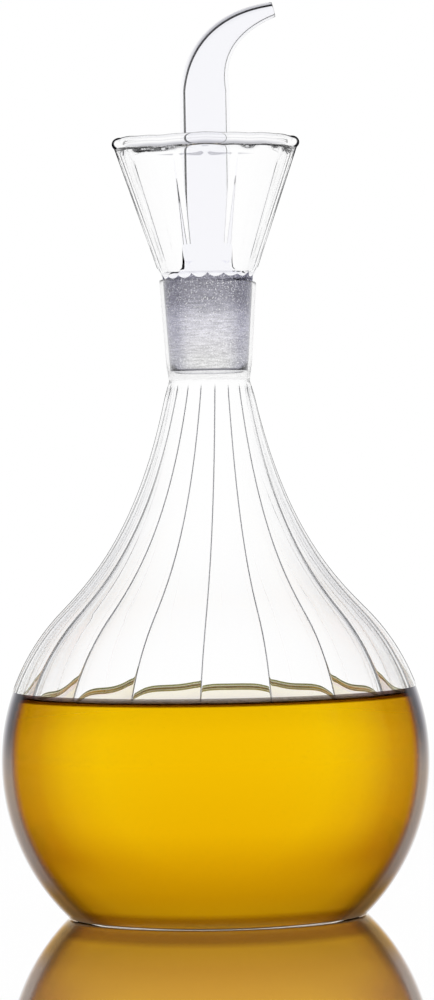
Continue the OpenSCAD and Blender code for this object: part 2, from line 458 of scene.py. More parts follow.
@dataclass(frozen=True)
class BoroOverOil(BoroClear):
    """The same glass where oil wets it from inside.

    Glass and oil bend light alike there, so they act as one thick lens. The darkening as it slants, where
    what comes through has gone far round the side until near the outline only the sheen of the glass is
    left, is painted shade, as are a tint darker towards the foot and a dark band under the oil's brink; a
    painted sheen and a painted golden reflection are mixed in by slant and by height. Heights are in mm,
    slants are facing values, and the places of the ramps by height run from the table, 0, to the height
    at which the outside is dry, 1.
    """

    oil_line: float = 60.0
    # painted shade: tint of what comes through, by height, darker towards the foot
    painted_shade_by_height: tuple = (
        (0.00, "#D8B888"), (0.02, "#C09C68"), (0.045, "#C0A070"), (0.07, "#F0DCBC"), (0.15, "#EBD4B4"),
        (0.30, "#F0DEC8"), (0.42, "#F6ECDC"), (0.58, "#FAF5F0"), (0.75, "#FFFEFC"), (0.962, "#FFFFFF"),
        # painted shade: a dark band where the climbing brink of the oil turns light away
        (0.967, "#684422"), (0.9735, "#80603C"), (0.979, "#5A4A38"), (0.988, "#70665E"), (1.00, "#B0ACAA"),
    )
    # painted shade by slant, darker to the outline, on bulb and foot, and heights where one turns into the
    # other
    slants: tuple = (
        (0.15, "#FFFFFF"), (0.276, "#F4ECEC"), (0.442, "#D6C0C0"), (0.608, "#C0A8A8"), (0.644, "#AC8878"),
        (0.67, "#7C5C50"), (0.70, "#54403C"), (0.74, "#241C1C"), (0.80, "#000000"),
    )
    painted_foot_shade_by_slant: tuple = (
        (0.15, "#FFFFFF"), (0.30, "#FFFCF8"), (0.44, "#FCF6F0"), (0.55, "#E4D8D0"), (0.608, "#B8A898"),
        (0.67, "#706458"), (0.74, "#30281C"), (0.80, "#000000"),
    )
    painted_foot_shade_heights: tuple = (9.0, 20.0)
    # painted sheen: share of light that the side mirrors, by slant, over and under the widest part
    painted_sheen_high: tuple = (
        (0.60, "#000000"), (0.644, "#181818"), (0.67, "#383838"), (0.70, "#5C5C5C"), (0.74, "#646464"),
        (0.785, "#808080"), (0.833, "#A8A8A8"), (0.904, "#DCDCDC"), (0.95, "#FFFFFF"),
    )
    painted_sheen_low: tuple = (
        (0.60, "#000000"), (0.644, "#404040"), (0.67, "#686868"), (0.70, "#949494"), (0.74, "#9A9A9A"),
        (0.785, "#A4A4A4"), (0.833, "#BCBCBC"), (0.904, "#ECECEC"), (0.95, "#FFFFFF"),
    )
    painted_sheen_heights: tuple = (38.0, 52.0)
    # painted reflection: what the foot mirrors besides, and the golden colour of what is mirrored, both by
    # height
    painted_foot_reflection: tuple = ((0.0, "#505050"), (0.02, "#484848"), (0.05, "#202020"), (0.16, "#000000"))
    painted_reflection_tints: tuple = (
        (0.00, "#FFE8C8"), (0.03, "#FFD088"), (0.12, "#FFCC80"), (0.20, "#FFE4D0"), (0.30, "#FFEDE0"),
        (0.62, "#FFEBDA"), (0.85, "#F4F2FA"), (1.00, "#F4F2FA"),
    )
    # slants between which the painted reflection colour turns into the plain one
    painted_reflection_slants: tuple = (0.80, 0.93)

    def dress(self, tree: bpy.types.NodeTree, output: bpy.types.Node) -> None:
        """Paints shade on the light that enters by height and by slant, and mixes in a painted sheen and a
        painted reflection; what goes out is left as it is.

        Args:
            tree: the material's tree.
            output: the output that its nodes end in.
        """
        place = add_node(tree, "TexCoord").outputs["Object"]
        height = add_node(tree, "SeparateXYZ", {0: place}).outputs["Z"]
        depth = add_node(tree, "MapRange", {
            "Value": height, "From Max": self.oil_line * MM,
        }).outputs["Result"]
        facing = add_node(tree, "LayerWeight", {"Blend": 0.5}).outputs["Facing"]
        # painted shade by height and by slant, painted reflection tint and share, and painted sheen ramps
        # (high, low)
        painted_height_shade, painted_reflection_tint, painted_foot_reflection_share, painted_slant_shade, painted_foot_slant_shade, high, low = (
            add_node(tree, "ValToRGB", {0: value}, stops).outputs["Color"]
            for value, stops in (
                (depth, self.painted_shade_by_height), (depth, self.painted_reflection_tints), (depth, self.painted_foot_reflection), (facing, self.slants),
                (facing, self.painted_foot_shade_by_slant), (facing, self.painted_sheen_high), (facing, self.painted_sheen_low),
            )
        )
        ease, up, grazing = (
            add_node(tree, "MapRange", {
                "Value": value, "From Min": low_end, "From Max": high_end,
            }, **SMOOTH).outputs["Result"]
            for value, low_end, high_end in (
                (height, self.painted_foot_shade_heights[1] * MM, self.painted_foot_shade_heights[0] * MM),
                (height, self.painted_sheen_heights[0] * MM, self.painted_sheen_heights[1] * MM),
                (facing, *self.painted_reflection_slants),
            )
        )
        # painted shade of the light that comes through from outside
        eased = add_node(tree, "Mix", {0: ease, 6: painted_slant_shade, 7: painted_foot_slant_shade}, **COLOURS).outputs[2]
        painted_shade_entering = add_node(tree, "Mix", {0: 1.0, 6: painted_height_shade, 7: eased}, **TIMES).outputs[2]
        # painted sheen plus painted foot reflection: the share that is mirrored (lit)
        sheen = add_node(tree, "Mix", {0: up, 6: low, 7: high}, **COLOURS).outputs[2]
        lit = add_node(tree, "Mix", {
            0: 1.0, 6: sheen, 7: painted_foot_reflection_share,
        }, **COLOURS, blend_type="ADD", clamp_result=True).outputs[2]
        inside = add_node(tree, "NewGeometry").outputs["Backfacing"]
        plain = add_node(tree, "Math", {0: grazing, 1: inside}, operation="MAXIMUM").outputs[0]
        colour, share, mirror = (
            add_node(tree, "Mix", {0: where, 6: there, 7: elsewhere}, **COLOURS).outputs[2]
            for where, there, elsewhere in (
                (inside, painted_shade_entering, self.tint), (inside, lit, self.mirror_share(tree)),
                (plain, painted_reflection_tint, self.tint),
            )
        )
        tree.links.new(self.skin(tree, share, colour, mirror), output.inputs["Surface"])


@dataclass(frozen=True)
class GroundGlass(BoroClear):
    """The same glass ground with fine carborundum to a matt taper, as every ground joint is.

    It scatters light into an even grey white, with faint rings left by the tool and grains, some of them
    with painted glints. Painted light and shade go over it: brighter or greyer by height, and grey painted
    on its round side where it slants.
    The pits of such grit are some 0.05 mm wide and the rings 0.1 mm apart, too fine to show, so both are
    drawn as coarse as grain_mm and ring_mm.
    """

    # painted light and shade by height; the grey painted on the round side, and the slants over which it
    # sets in
    light: tuple = ((0.0, "#FFFFFF"), (1.0, "#FFFFFF"))
    side: str = "#FFFFFF"
    painted_side_shade_slants: tuple = (0.02, 0.4)
    mark: str = "#88888E"
    low_z: float = 142.0
    high_z: float = 170.0
    grain_mm: float = 0.30
    ring_mm: float = 0.40
    ring_stretch: float = 0.12
    mottles: tuple = (0.8, 1.2)
    dip: float = 0.30
    # painted glints: the colour of the grains that catch the light, and the grain levels over which they
    # set in
    glint: str = "#FFFFFF"
    painted_glint_levels: tuple = (0.60, 0.66)
    roughness: float = 0.12
    chalk: float = 0.05

    def dress(self, tree: bpy.types.NodeTree, output: bpy.types.Node) -> None:
        """Mixes rough glass with a chalky share, both mottled by grains and rings on the side that is seen,
        with painted light and shade by height, painted shade on the round side, and painted glints.

        Args:
            tree: the material's tree.
            output: the output that its nodes end in.
        """
        place = add_node(tree, "TexCoord").outputs["Object"]
        height = add_node(tree, "SeparateXYZ", {0: place}).outputs["Z"]
        up = add_node(tree, "MapRange", {
            "Value": height, "From Min": self.low_z * MM, "From Max": self.high_z * MM,
        }).outputs["Result"]
        # painted light and shade by height
        base = add_node(tree, "ValToRGB", {0: up}, self.light).outputs["Color"]
        facing = add_node(tree, "LayerWeight", {"Blend": 0.5}).outputs["Facing"]
        # painted shade on the round side where it slants
        slant = add_node(tree, "MapRange", {
            "Value": facing, "From Min": self.painted_side_shade_slants[0], "From Max": self.painted_side_shade_slants[1],
        }, **SMOOTH).outputs["Result"]
        painted_side_shade = add_node(tree, "Mix", {0: slant, 6: "#FFFFFF", 7: self.side}, **COLOURS).outputs[2]
        turned = add_node(tree, "Mix", {0: 1.0, 6: base, 7: painted_side_shade}, **TIMES).outputs[2]
        grain = add_node(tree, "TexNoise", {
            "Vector": place, "Scale": 1 / (self.grain_mm * MM), "Detail": 2.0, "Roughness": 0.6,
        }).outputs["Fac"]
        rings_place = add_node(tree, "Mapping", {
            "Vector": place, "Scale": (self.ring_stretch, self.ring_stretch, 1.0),
        }).outputs[0]
        rings = add_node(tree, "TexNoise", {
            "Vector": rings_place, "Scale": 1 / (self.ring_mm * MM), "Detail": 1.0, "Distortion": 0.4,
        }).outputs["Fac"]
        mottle = add_node(tree, "Math", {0: grain, 1: rings}, operation="ADD").outputs[0]
        share = add_node(tree, "MapRange", {
            "Value": mottle, "From Min": self.mottles[0], "From Max": self.mottles[1],
            "To Min": 1 - self.dip,
        }).outputs["Result"]
        mottled_and_painted_light = add_node(tree, "Mix", {0: 1.0, 6: turned, 7: share}, **TIMES).outputs[2]
        # painted glints on the brightest grains
        painted_glint = add_node(tree, "MapRange", {
            "Value": grain, "From Min": self.painted_glint_levels[0], "From Max": self.painted_glint_levels[1],
        }).outputs["Result"]
        bright = add_node(tree, "Mix", {0: painted_glint, 6: mottled_and_painted_light, 7: self.glint}, **COLOURS).outputs[2]
        end = add_node(tree, "Attribute", attribute_name="crest").outputs["Fac"]
        marked = add_node(tree, "Mix", {0: end, 6: bright, 7: self.mark}, **COLOURS).outputs[2]
        inside = add_node(tree, "NewGeometry").outputs["Backfacing"]
        colour = add_node(tree, "Mix", {0: inside, 6: marked, 7: "#FFFFFF"}, **COLOURS).outputs[2]
        rough = self.skin(tree, self.mirror_share(tree), colour, colour, self.roughness)
        chalk = add_node(tree, "BsdfDiffuse", {"Color": colour}).outputs[0]
        through = add_node(tree, "BsdfTranslucent", {"Color": colour}).outputs[0]
        milky = add_node(tree, "MixShader", {0: 0.5, 1: chalk, 2: through}).outputs[0]
        shader = add_node(tree, "MixShader", {0: self.chalk, 1: rough, 2: milky}).outputs[0]
        tree.links.new(shader, output.inputs["Surface"])


@dataclass(frozen=True)
class OliveOil(BoroClear):
    """Refined olive oil: a clear yellow liquid that drinks up blue and a little green.

    A thin edge of it shows lemon yellow, and the whole depth of the bulb a deep gold. The brink that
    climbs the glass turns light away; its olive line, darker from above than from inside, is painted
    shade, with a painted reflection over it from above.
    """

    ior: float = 1.467
    density: float = 62.0
    keeps: tuple = (0.985, 0.905, 0.0)
    # painted shade of the brink from inside and from above, and the painted reflection on it from above
    painted_brink_shade_inside: str = "#B8C49A"
    painted_brink_shade_above: tuple = (
        (0.0, "#FFFFFF"), (0.15, "#FFFEE4"), (0.55, "#F6F4C4"), (0.72, "#8E8C52"), (1.0, "#9C9A62"),
    )
    painted_brink_reflection: float = 0.8
    painted_brink_reflection_gain: float = 6.0

    def dress(self, tree: bpy.types.NodeTree, output: bpy.types.Node) -> None:
        """Gives it a clean skin with painted shade and a painted reflection at its brink, and an absorbing
        body.

        Args:
            tree: the material's tree.
            output: the output that its nodes end in.
        """
        inside = add_node(tree, "NewGeometry").outputs["Backfacing"]
        brink = add_node(tree, "Attribute", attribute_name="crest").outputs["Fac"]
        above = add_node(tree, "ValToRGB", {0: brink}, self.painted_brink_shade_above).outputs["Color"]
        below = add_node(tree, "Mix", {0: brink, 6: "#FFFFFF", 7: self.painted_brink_shade_inside}, **COLOURS).outputs[2]
        colour = add_node(tree, "Mix", {0: inside, 6: above, 7: below}, **COLOURS).outputs[2]
        outer = add_node(tree, "Math", {
            0: brink, 1: inside,
        }, operation="SUBTRACT", use_clamp=True).outputs[0]
        grown = add_node(tree, "Math", {
            0: outer, 1: self.painted_brink_reflection_gain,
        }, operation="MULTIPLY", use_clamp=True).outputs[0]
        # painted reflection share on the brink, seen from above
        bright = add_node(tree, "Math", {0: grown, 1: self.painted_brink_reflection}, operation="MULTIPLY").outputs[0]
        share = add_node(tree, "Math", {
            0: self.mirror_share(tree), 1: bright,
        }, operation="MAXIMUM").outputs[0]
        tree.links.new(self.skin(tree, share, colour, colour), output.inputs["Surface"])
        body = add_node(tree, "VolumeAbsorption", {"Color": (*self.keeps, 1.0), "Density": self.density})
        tree.links.new(body.outputs[0], output.inputs["Volume"])


@dataclass(frozen=True)
class GlossWhite(Finish):
    """A sheet of white acrylic, cast and polished: a mirror at a low slant, matt white from above.

    Slants are facing values. The mirror dims a little over the reaches of hazes, and past near and far
    the sheet turns to plain white; all four are in metres from the object.
    """

    white: str = "#F4F4F6"
    mirror: str = "#FFFFFF"
    roughness: float = 0.02
    slants: tuple = (0.55, 0.88)
    shares: tuple = (0.03, 0.985)
    hazes: tuple = (0.07, 0.25)
    haze: float = 0.945
    near: float = 0.30
    far: float = 0.90

    def dress(self, tree: bpy.types.NodeTree, output: bpy.types.Node) -> None:
        """Mixes matt white with a mirror by slant, and turns to plain white far from the object.

        Args:
            tree: the material's tree.
            output: the output that its nodes end in.
        """
        facing = add_node(tree, "LayerWeight", {"Blend": 0.5}).outputs["Facing"]
        slanting = add_node(tree, "MapRange", {
            "Value": facing, "From Min": self.slants[0], "From Max": self.slants[1],
            "To Min": self.shares[0], "To Max": self.shares[1],
        }, **SMOOTH).outputs["Result"]
        place = add_node(tree, "TexCoord").outputs["Object"]
        reach = add_node(tree, "VectorMath", {0: place}, operation="LENGTH").outputs["Value"]
        hazy = add_node(tree, "MapRange", {
            "Value": reach, "From Min": self.hazes[0], "From Max": self.hazes[1],
            "To Min": 1.0, "To Max": self.haze,
        }).outputs["Result"]
        share = add_node(tree, "Math", {0: slanting, 1: hazy}, operation="MULTIPLY").outputs[0]
        matt = add_node(tree, "BsdfDiffuse", {"Color": self.white}).outputs[0]
        mirror = add_node(tree, "BsdfAnisotropic", {
            "Color": self.mirror, "Roughness": self.roughness,
        }).outputs[0]
        sheet = add_node(tree, "MixShader", {0: share, 1: matt, 2: mirror}).outputs[0]
        away = add_node(tree, "MapRange", {
            "Value": reach, "From Min": self.near, "From Max": self.far,
        }, **SMOOTH).outputs["Result"]
        plain = add_node(tree, "Emission", {"Color": "#FFFFFF", "Strength": 1.0}).outputs[0]
        shader = add_node(tree, "MixShader", {0: away, 1: sheet, 2: plain}).outputs[0]
        tree.links.new(shader, output.inputs["Surface"])


# The glass of the flask


class FlaskSkin(IntEnum):
    """Material slots of the flask's glass."""

    CLEAR = 0
    OVER_OIL = 1
    GROUND = 2


@dataclass
class Flask:
    """The blown flask with its ground socket. Sizes are in mm and degrees.

    The heights of neck, mouth and oil are those of the frame. rib_fade, throat and ledge_gap are how far
    under the socket the ribs fade, the bore widens and its ledge lies.
    """

    bulb_d: float = 114.4
    base_d: float = 80.0
    heel_r: float = 1.6
    heel_in_r: float = 4.0
    foot_ring_w: float = 4.5
    punt_h: float = 2.0
    base_wall: float = 2.6
    bulb_wall: float = 1.8
    shoulder_angle: float = 44.6
    shoulder_pull: float = 12.7
    neck_pull: float = 38.3
    neck_lean: float = 11.0
    neck_wall: float = 1.3
    joint_d: float = 24.0
    joint_taper: float = 7.5
    socket_wall: float = 0.95
    waist_depth: float = 0.35
    waist_h: float = 3.0
    flute_low: float = 0.55
    flute_high: float = 0.10
    crest_h: float = 0.06
    crest_w: float = 0.22
    rib_low_z: float = 44.0
    rib_fade: tuple = (2.5, 0.7)
    dry_band: float = 0.5
    twist_low_z: float = 62.0
    twist_h: float = 79.0
    twist_terms: tuple = (-3.8, 3.13, 8.67)
    throat: tuple = (3.5, 3.2, 2.6)
    ledge_gap: float = 0.4
    outline_w: float = 0.1
    lip_tilt: float = 0.45
    lip_tilt_h: float = 12.0
    oil_climb: float = 0.9
    wet_more: float = 1.4

    def __post_init__(self) -> None:
        """Works out the sizes that follow from the others and from the frame."""
        self.neck_z, self.mouth_z = box_heights("neck_socket")
        self.oil_z = box_heights("oil_fill")[1]
        self.contact_z = self.oil_z + self.oil_climb
        self.wet_z = self.contact_z + self.wet_more
        self.ledge_z = self.neck_z - self.ledge_gap
        self.lip_r = self.socket_wall / 2
        self.lip_z = self.mouth_z - self.lip_r
        self.bulb_r = self.bulb_d / 2
        self.bulb_z = math.sqrt(self.bulb_r ** 2 - (self.base_d / 2) ** 2)
        angle = math.radians(self.shoulder_angle)
        lean = math.radians(self.neck_lean)
        low = np.array([self.bulb_r * math.cos(angle), self.bulb_z + self.bulb_r * math.sin(angle)])
        high = np.array([self.bore_r(self.neck_z) + self.socket_wall, self.neck_z])
        self.shoulder = [
            low,
            low + self.shoulder_pull * np.array([-math.sin(angle), math.cos(angle)]),
            high + self.neck_pull * np.array([math.sin(lean), -math.cos(lean)]),
            high,
        ]

    def bore_r(self, z: float) -> float:
        """Radius of the socket's bore at a height."""
        return (self.joint_d - (self.mouth_z - z) / self.joint_taper) / 2

    def twist(self, z: float) -> float:
        """How far the ribs have turned from the front, in degrees: blowing winds them a little.

        Args:
            z: height in mm.

        Returns:
            The turn of the rib that stands nearest the front.
        """
        t = (np.clip(z, self.rib_low_z, self.neck_z) - self.twist_low_z) / self.twist_h
        start, steady, winding = self.twist_terms
        return start + steady * t + winding * t * t

    def relief(self, radius: float, z: float) -> tuple[np.ndarray, np.ndarray]:
        """How much thicker the glass is at each column: a shallow flute between ribs, and a rib's crest.

        Args:
            radius: radius of the inner skin there, in mm.
            z: height of the row, in mm.

        Returns:
            The thickness added at each column in mm, and how much of a crest each column is above the oil,
            which masks the painted grey crest shade.
        """
        _, from_rib = column_angles(radius)
        starts, ends = (self.neck_z - gap for gap in self.rib_fade)
        fade = smooth_step(self.rib_low_z, self.oil_z, z) * (1 - smooth_step(starts, ends, z))
        height = np.clip((z - self.oil_z) / (self.neck_z - self.oil_z), 0, 1)
        flute = self.flute_high + (self.flute_low - self.flute_high) * (1 - height) ** 2
        across = 1 - np.abs(from_rib) / (CELL / 2)
        reach = np.abs(from_rib) * radius / self.crest_w
        crest = np.clip(1 - reach ** 2, 0, 1) ** 2
        # the painted crest shade fades out at the oil's brink, where oil and glass bend light alike
        dry = smooth_step(self.contact_z - self.dry_band, self.contact_z + self.dry_band, z)
        mean = 1 / 5     # of the flute's fourth power, taken off so that the wall keeps its mean thickness
        return fade * (flute * (across ** 4 - mean) + self.crest_h * crest), fade * dry * crest

    def heel_centre(self, radius: float, floor: float, heel: float) -> tuple[float, float]:
        """Centre of a heel's rounding, for a ball of that radius over a floor at that height."""
        return math.sqrt((radius - heel) ** 2 - (self.bulb_z - floor - heel) ** 2), floor + heel

    def heel_angle(self, radius: float, floor: float, heel: float) -> float:
        """Angle in degrees at which a heel's rounding runs into the ball."""
        reach, z = self.heel_centre(radius, floor, heel)
        return math.degrees(math.atan2(z - self.bulb_z, reach))

    def dome(self, reach: float, floor: float, steps: int) -> list[np.ndarray]:
        """Points of the shallow dome over a floor, from near the axis out to that reach."""
        radii = reach * np.linspace(0, 1, steps + 1)[1:]
        return [np.array([r, floor + self.punt_h * (1 - (r / reach) ** 2)]) for r in radii]

    def shoulder_points(self, low_inset: float, high_inset: float, steps: int) -> list[np.ndarray]:
        """Points up the shoulder, set in from its outside.

        Args:
            low_inset: how deep they lie at its low end, in mm.
            high_inset: how deep they lie at its high end.
            steps: how many stretches it is cut into.

        Returns:
            The points, without the lowest.
        """
        points = []
        for t in np.linspace(0, 1, steps + 1)[1:]:
            point, way = cubic(self.shoulder, t)
            inset = low_inset + (high_inset - low_inset) * t
            points.append(point - inset * np.array([way[1], -way[0]]))
        return points

    def inner_wall(self, inset: float) -> list[np.ndarray]:
        """Points of the inside from the edge of the floor up to the shoulder's start.

        Args:
            inset: how deep in the glass they lie, in mm.

        Returns:
            The points.
        """
        radius, floor, heel = self.bulb_r - self.bulb_wall + inset, self.base_wall - inset, self.heel_in_r
        turn = self.heel_angle(radius, floor, heel)
        return (
            arc(self.heel_centre(radius, floor, heel), heel, -90, turn, 10)
            + arc((0, self.bulb_z), radius, turn, self.shoulder_angle, 60)[1:]
        )

    def raised(self, wall: list[np.ndarray], i: int) -> tuple[np.ndarray, np.ndarray, np.ndarray]:
        """Pushes one of the inside's points in by the relief, square to the wall.

        Args:
            wall: points up the inside.
            i: which of them it is.

        Returns:
            The radius and height of each column in mm, and how much of a rib's crest each is, which masks
            painted shade.
        """
        before, after = wall[max(i - 1, 0)], wall[min(i + 1, len(wall) - 1)]
        way = (after - before) / np.linalg.norm(after - before)
        added, crest = self.relief(*wall[i])
        return wall[i][0] - way[1] * added, wall[i][1] + way[0] * added, crest

    def rows(self) -> GlassRows:
        """Rows from the middle of the floor, up inside, over the lip and down to the middle of the base.

        Returns:
            The rows of the flask's whole skin.
        """
        skin = GlassRows()
        self.inside_rows(skin)
        self.socket_rows(skin)
        self.outside_rows(skin)
        return skin

    def inside_rows(self, skin: GlassRows) -> None:
        """Adds the inside, from the floor up to the throat that widens into the socket.

        Args:
            skin: the rows so far.
        """
        reach = self.heel_centre(self.bulb_r - self.bulb_wall, self.base_wall, self.heel_in_r)[0]
        inside = self.dome(reach, self.base_wall, 8)[:-1] + self.inner_wall(0.0)
        top, throat, first = (self.neck_z - gap for gap in self.throat)
        inside += [p for p in self.shoulder_points(self.bulb_wall, self.neck_wall, 60) if p[1] < top]
        narrow = inside[-1][0] - 0.1
        for z in np.linspace(first, self.ledge_z - 0.3, 5):
            wider = (self.bore_r(self.ledge_z) - narrow) * smooth_step(throat, self.ledge_z, z)
            inside.append(np.array([narrow + wider, z]))
        for i, point in enumerate(inside):
            radius, z, crest = self.raised(inside, i)
            skin.turned(radius, z, FlaskSkin.CLEAR, self.twist(point[1]), crest)

    def socket_rows(self, skin: GlassRows) -> None:
        """Adds the ground bore, the rounded lip and the socket's outside.

        Args:
            skin: the rows so far.
        """
        bore_r, lip_z = self.bore_r(self.lip_z), self.lip_z
        for radius, z in line((self.bore_r(self.ledge_z), self.ledge_z), (bore_r, lip_z), 24):
            skin.turned(radius, z + self.lip_lean(radius, z), FlaskSkin.GROUND, self.twist(z))
        lip = arc((bore_r + self.lip_r, lip_z), self.lip_r, 180, 0, 8)[1:]
        lip += line((bore_r + self.socket_wall, lip_z), tuple(self.shoulder[3]), 24)[1:]
        for radius, z in lip:
            lifted = z + self.lip_lean(radius, z)
            skin.turned(radius - self.waist(z), lifted, FlaskSkin.CLEAR, self.twist(z))

    def outside_rows(self, skin: GlassRows) -> None:
        """Adds the outside, dry down the shoulder and wetted from behind down the bulb to the base.

        Args:
            skin: the rows so far.
        """
        contact = math.degrees(math.asin((self.wet_z - self.bulb_z) / self.bulb_r))
        shoulder = self.shoulder_points(0, 0, 60)[::-1][1:]
        shoulder += arc((0, self.bulb_z), self.bulb_r, self.shoulder_angle, contact, 16)[:-1]
        for radius, z in shoulder:
            # painted dark outline along the shoulder and the bulb's dry edge
            edge = edge_of(self.outline_w, radius)
            skin.turned(radius - self.waist(z), z, FlaskSkin.CLEAR, self.twist(z), edge=edge)
        turn = self.heel_angle(self.bulb_r, 0, self.heel_r)
        foot = self.heel_centre(self.bulb_r, 0, self.heel_r)
        wet = arc((0, self.bulb_z), self.bulb_r, contact, turn, 50)
        wet += arc(foot, self.heel_r, turn, -90, 12)[1:]
        wet += self.dome(foot[0] - self.foot_ring_w, 0, 10)[::-1]
        for radius, z in wet:
            skin.turned(radius, z, FlaskSkin.OVER_OIL, self.twist(z))

    def waist(self, z: float) -> float:
        """How far the glass is drawn in at a height, just under the socket."""
        return self.waist_depth * math.exp(-((z - self.neck_z - 0.5) / self.waist_h) ** 2)

    def lip_lean(self, radius: float, z: float) -> np.ndarray:
        """How far each column is lifted near the lip, which was cut a little askew.

        Args:
            radius: the row's radius in mm.
            z: its height.

        Returns:
            The lift of each column in mm.
        """
        angles, _ = column_angles(radius)
        near = smooth_step(self.mouth_z - self.lip_tilt_h, self.mouth_z, z)
        return -self.lip_tilt * near * np.sin(angles)

    def build(self, finishes: dict[FlaskSkin, Finish]) -> bpy.types.Object:
        """Makes the flask's glass, which rides on the flask and stands for its two CAD nodes.

        Args:
            finishes: the finish of each slot.

        Returns:
            The piece.
        """
        ends = (self.base_wall + self.punt_h, self.punt_h)
        piece = self.rows().mesh_object("flask_glass", [finishes[s].material() for s in FlaskSkin], ends)
        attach(piece, "flask")
        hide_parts("flask_body", "neck_socket")
        return piece


# The oil


@dataclass
class OilFill:
    """The oil, which wets the flask's wall and climbs it a little. Sizes are in mm, slopes in degrees.

    Its skin lies in the glass by the overlap, so that no air is left between the two. The slopes are
    those at which its climbing edge has a row, up to the slope at which it meets the wall.
    """

    flask: Flask
    overlap: float = 0.12
    capillary: float = 0.9
    slopes: tuple = (0.5, 1, 2, 3.5, 5.5, 8, 11, 15, 20, 26, 32, 38, 44, 50, 55, 60)
    # slopes over which the painted brink shade sets in
    painted_brink_slopes: tuple = (8.0, 50.0)

    def free_surface(self) -> list[tuple[float, float, float]]:
        """The climbing edge, as surface tension shapes it.

        Returns:
            For each row, its distance in from the wall, its height over the level, and how much of
            the painted dark brink it is.
        """
        def run(slope: float) -> float:
            """Distance at which the surface leans by a slope, up to a constant."""
            return self.capillary * (math.log(1 / math.tan(slope / 4)) - 2 * math.cos(slope / 2))
        slopes = [math.radians(s) for s in self.slopes]
        at_wall = run(slopes[-1])
        low, high = (math.radians(a) for a in self.painted_brink_slopes)
        return [
            (run(s) - at_wall, 2 * self.capillary * math.sin(s / 2), smooth_step(low, high, s))
            for s in slopes
        ]

    def rows(self) -> GlassRows:
        """Rows from the middle of the surface out to the wall, then down it to the middle of the floor.

        Returns:
            The rows of the oil's whole skin.
        """
        flask = self.flask
        skin = GlassRows()
        ball_r = flask.bulb_r - flask.bulb_wall
        contact_z = flask.contact_z
        contact = math.degrees(math.asin((contact_z - flask.bulb_z) / ball_r))
        contact_r = ball_r * math.cos(math.radians(contact))
        added, _ = flask.relief(contact_r, contact_z)
        brink = contact_r - added * math.cos(math.radians(contact))
        twist = flask.twist(contact_z)
        meniscus = self.free_surface()
        reach = contact_r - meniscus[0][0]
        for share in np.linspace(0, 1, 12)[1:-1]:
            skin.turned(reach * share, flask.oil_z, 0, twist)
        for inward, rise, share in meniscus:
            skin.turned(brink - inward, flask.oil_z + rise, 0, twist, share)
        lean = math.radians(self.slopes[-1])
        skin.turned(brink + CREASE * math.cos(lean), contact_z + CREASE * math.sin(lean), 0, twist)
        wall = [p for p in flask.inner_wall(self.overlap) if p[1] < contact_z - 0.1]
        for z in (contact_z - 2 * CREASE, contact_z):
            radius = math.sqrt((ball_r + self.overlap) ** 2 - (z - flask.bulb_z) ** 2)
            wall.append(np.array([radius, z]))
        for i in range(len(wall) - 1, -1, -1):
            radius, z, _ = flask.raised(wall, i)
            skin.turned(radius, z, 0, flask.twist(wall[i][1]))
        reach = flask.heel_centre(ball_r, flask.base_wall, flask.heel_in_r)[0]
        for radius, z in flask.dome(reach, flask.base_wall - self.overlap, 8)[-2::-1]:
            skin.turned(radius, z, 0, flask.twist(z))
        return skin

    def build(self, finish: Finish) -> bpy.types.Object:
        """Makes the oil, which rides on the flask.

        Args:
            finish: its finish.

        Returns:
            The piece.
        """
        flask = self.flask
        ends = (flask.oil_z, flask.base_wall - self.overlap + flask.punt_h)
        piece = self.rows().mesh_object("olive_oil", [finish.material()], ends)
        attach(piece, "flask")
        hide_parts("oil_fill")
        return piece


# The stopper


class StopperSkin(IntEnum):
    """Material slots of the stopper's glass."""

    CLEAR = 0
    TUBE = 1
    SEAL = 2
    GROUND = 3


